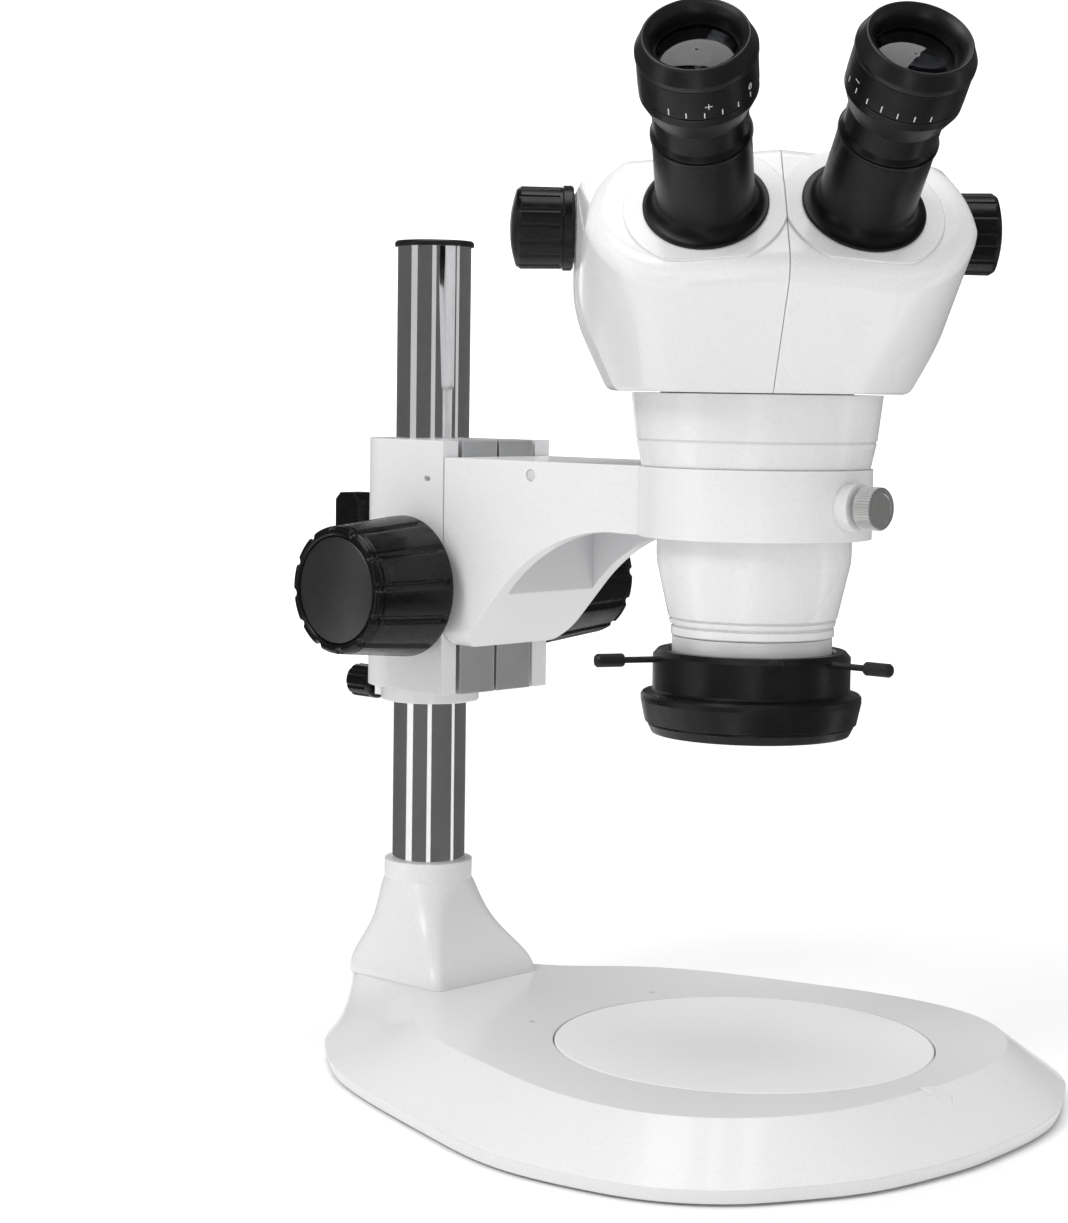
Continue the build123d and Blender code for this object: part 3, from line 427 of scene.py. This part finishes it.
def ring_axes(side):
    """Centre of the dioptre ring, its axis, and two directions across it: the camera's side, and sideways."""
    joint = JOINTS[f"diopter_{side}_turn"]
    axis = Vector(joint["axis"]).normalized()
    front = CAMERA_AT - Vector(joint["pos_m"])
    front = (front - axis * front.dot(axis)).normalized()
    return Vector(joint["pos_m"]), axis, front, axis.cross(front)


def strip(bm, centre, axis, front, side, radius, angles, heights, steps=3):
    """Thin raised patch on a cylinder between two angles and two heights."""
    low, high = radius - 0.0002, radius + MARK_PROUD
    rows = []
    for i in range(steps + 1):
        angle = angles[0] + (angles[1] - angles[0]) * i / steps
        out = front * math.cos(angle) + side * math.sin(angle)
        bottom, top = heights
        corners = ((low, bottom), (high, bottom), (high, top), (low, top))
        rows.append([bm.verts.new(centre + out * r + axis * h) for r, h in corners])
    for first, second in zip(rows, rows[1:]):
        for j in range(4):
            bm.faces.new((first[j], first[(j + 1) % 4], second[(j + 1) % 4], second[j]))
    bm.faces.new(rows[0])
    bm.faces.new(list(reversed(rows[-1])))


def dioptre_marks(side, long_tick, step, ticks, glyphs):
    """White scale at the lower edge of a dioptre ring: ticks, and plus, minus or nought above them."""
    centre, axis, front, across = ring_axes(side)
    half = 0.00020 / RING_R
    bm = bmesh.new()
    for index in ticks:
        angle = math.radians(long_tick + index * step)
        top = -2.4 * MM if index == 0 else -3.0 * MM
        strip(bm, centre, axis, front, across, RING_R, (angle - half, angle + half), (-5.2 * MM, top), 1)
    arm = 1.25 * MM
    for glyph, degrees in glyphs:
        angle = math.radians(degrees)
        level = -0.6 * MM
        if glyph in "+-":
            strip(bm, centre, axis, front, across, RING_R, (angle - arm / RING_R, angle + arm / RING_R),
                  (level - 0.00015, level + 0.00015))
        if glyph == "+":
            strip(bm, centre, axis, front, across, RING_R, (angle - half * 0.7, angle + half * 0.7),
                  (level - arm, level + arm), 1)
        if glyph == "0":
            for turn in (-1, 1):
                edge = angle + turn * 0.0006 / RING_R
                strip(bm, centre, axis, front, across, RING_R, (edge - half, edge + half),
                      (level - 0.8 * MM, level + 0.8 * MM), 1)
            for rise in (-0.9 * MM, 0.9 * MM):
                ends = (angle - 0.0006 / RING_R, angle + 0.0006 / RING_R)
                heights = (level + rise - 0.0002, level + rise + 0.0002)
                strip(bm, centre, axis, front, across, RING_R, ends, heights)
    add_mesh(f"dioptre_scale_{side}", bm, MARK_WHITE, f"diopter_{side}")


# ---------------------------------------------------------------- studio
def area_light(name, at, target, size, power):
    data = bpy.data.lights.new(name, "AREA")
    data.shape = "RECTANGLE"
    data.size, data.size_y = size
    data.energy = power
    lamp = bpy.data.objects.new(name, data)
    direction = Vector(target) - Vector(at)
    lamp.matrix_world = Matrix.Translation(at) @ direction.to_track_quat("-Z", "Y").to_matrix().to_4x4()
    bpy.context.scene.collection.objects.link(lamp)


def only_reflected(name, bm, material):
    """Stage piece that shows in reflections and nowhere else."""
    bmesh.ops.recalc_face_normals(bm, faces=bm.faces)
    mesh = bpy.data.meshes.new(name)
    bm.to_mesh(mesh)
    bm.free()
    mesh.materials.append(material)
    card = bpy.data.objects.new(name, mesh)
    bpy.context.scene.collection.objects.link(card)
    card.visible_camera = False
    card.visible_diffuse = False
    card.visible_shadow = False
    card.visible_transmission = False


def curtain(name, centre, radius, arc, heights, material):
    """Upright curved card round a centre, between two directions in degrees, with a foot lying inwards."""
    bm = bmesh.new()
    rows = []
    steps = max(2, int(abs(arc[1] - arc[0]) / 6))
    for i in range(steps + 1):
        angle = math.radians(arc[0] + (arc[1] - arc[0]) * i / steps)
        out = Vector((math.cos(angle), math.sin(angle), 0))
        rows.append([bm.verts.new(centre + out * r + Vector((0, 0, z)))
                     for r, z in ((0.34, heights[0]), (radius, heights[0]), (radius, heights[1]))])
    for first, second in zip(rows, rows[1:]):
        for j in range(2):
            bm.faces.new((first[j], first[j + 1], second[j + 1], second[j]))
    only_reflected(name, bm, material)


def ceiling(name, material):
    """Wide level card above the lamps, so that black gloss mirrors the lamps and little else."""
    bm = bmesh.new()
    bmesh.ops.create_grid(bm, x_segments=2, y_segments=2, size=3.2)
    bmesh.ops.translate(bm, verts=bm.verts, vec=(0, 0.1, 3.0))
    only_reflected(name, bm, material)


def plain(name, color, roughness=1.0):
    finish = Finish(name, color, roughness=roughness, Specular_IOR_Level=0.1)
    cloud = finish.spread(finish.noise(0.6, 3), 0.0, 1.0)
    finish.color(finish.mix(cloud, scaled(color, 0.995), scaled(color, 1.005)))
    return finish.material


def sweep(name, material):
    """Seamless paper: a flat floor that curves up into a wall behind the object, seen from the camera."""
    back = Vector((math.sin(CAMERA_AZIMUTH), -math.cos(CAMERA_AZIMUTH), 0))
    across = Vector((math.cos(CAMERA_AZIMUTH), math.sin(CAMERA_AZIMUTH), 0))
    bend, reach, near, half, height = 1.4, 3.2, 4.0, 6.0, 5.0
    line = [(-near, 0.0), (reach, 0.0)]
    for i in range(1, 25):
        turn = math.pi / 2 * i / 24
        line.append((reach + bend * math.sin(turn), bend * (1 - math.cos(turn))))
    line.append((reach + bend, height))
    bm = bmesh.new()
    rows = []
    for away, rise in line:
        middle = -back * away
        rows.append([bm.verts.new(middle + across * side + Vector((0, 0, rise))) for side in (-half, half)])
    for first, second in zip(rows, rows[1:]):
        bm.faces.new((first[0], first[1], second[1], second[0]))
    bmesh.ops.recalc_face_normals(bm, faces=bm.faces)
    mesh = bpy.data.meshes.new(name)
    bm.to_mesh(mesh)
    bm.free()
    for polygon in mesh.polygons:
        polygon.use_smooth = True
    mesh.materials.append(material)
    paper = bpy.data.objects.new(name, mesh)
    bpy.context.scene.collection.objects.link(paper)


# Directions from the post, in degrees, that stay dark; the gaps between them are the bright windows.
CURTAINS = ((172, 219), (232, 300), (311, 410), (60, 150))


def make_studio():
    sweep("paper", plain("floor_paper", (0.93, 0.93, 0.93)))
    world = bpy.data.worlds.new("studio")
    world.use_nodes = True
    world.node_tree.nodes["Background"].inputs["Color"].default_value = (1, 1, 1, 1)
    world.node_tree.nodes["Background"].inputs["Strength"].default_value = 0.68
    bpy.context.scene.world = world

    middle = (0, 0.05, 0.22)
    area_light("key", (-1.8, 0.1, 1.9), middle, (1.0, 1.0), 23)
    area_light("fill", (-0.4, -2.2, 0.8), middle, (1.2, 1.2), 2.0)
    area_light("top", (0.1, 0.1, 2.6), middle, (1.6, 1.6), 22)
    area_light("backdrop", (1.1, 1.5, 2.3), (3.4, 3.4, 0.9), (2.2, 0.6), 70)

    grey = plain("curtain_grey", (0.11, 0.11, 0.11))
    ceiling("ceiling", plain("ceiling_grey", (0.05, 0.05, 0.05)))
    post = Vector((0, 0.18, 0))
    for i, arc in enumerate(CURTAINS):
        curtain(f"curtain_{i}", post, 1.75, arc, (0.004, 1.9), grey)
    bpy.context.scene.view_settings.view_transform = "Standard"


make_camera()
dress_nodes()
focus_knob("left")
focus_knob("right")
dioptre_marks("left", -30.6, 17.2, range(0, 6), (("+", 8), ("0", 55.4)))
dioptre_marks("right", -13.5, 16.2, range(-3, 4), (("-", -48),))
make_studio()
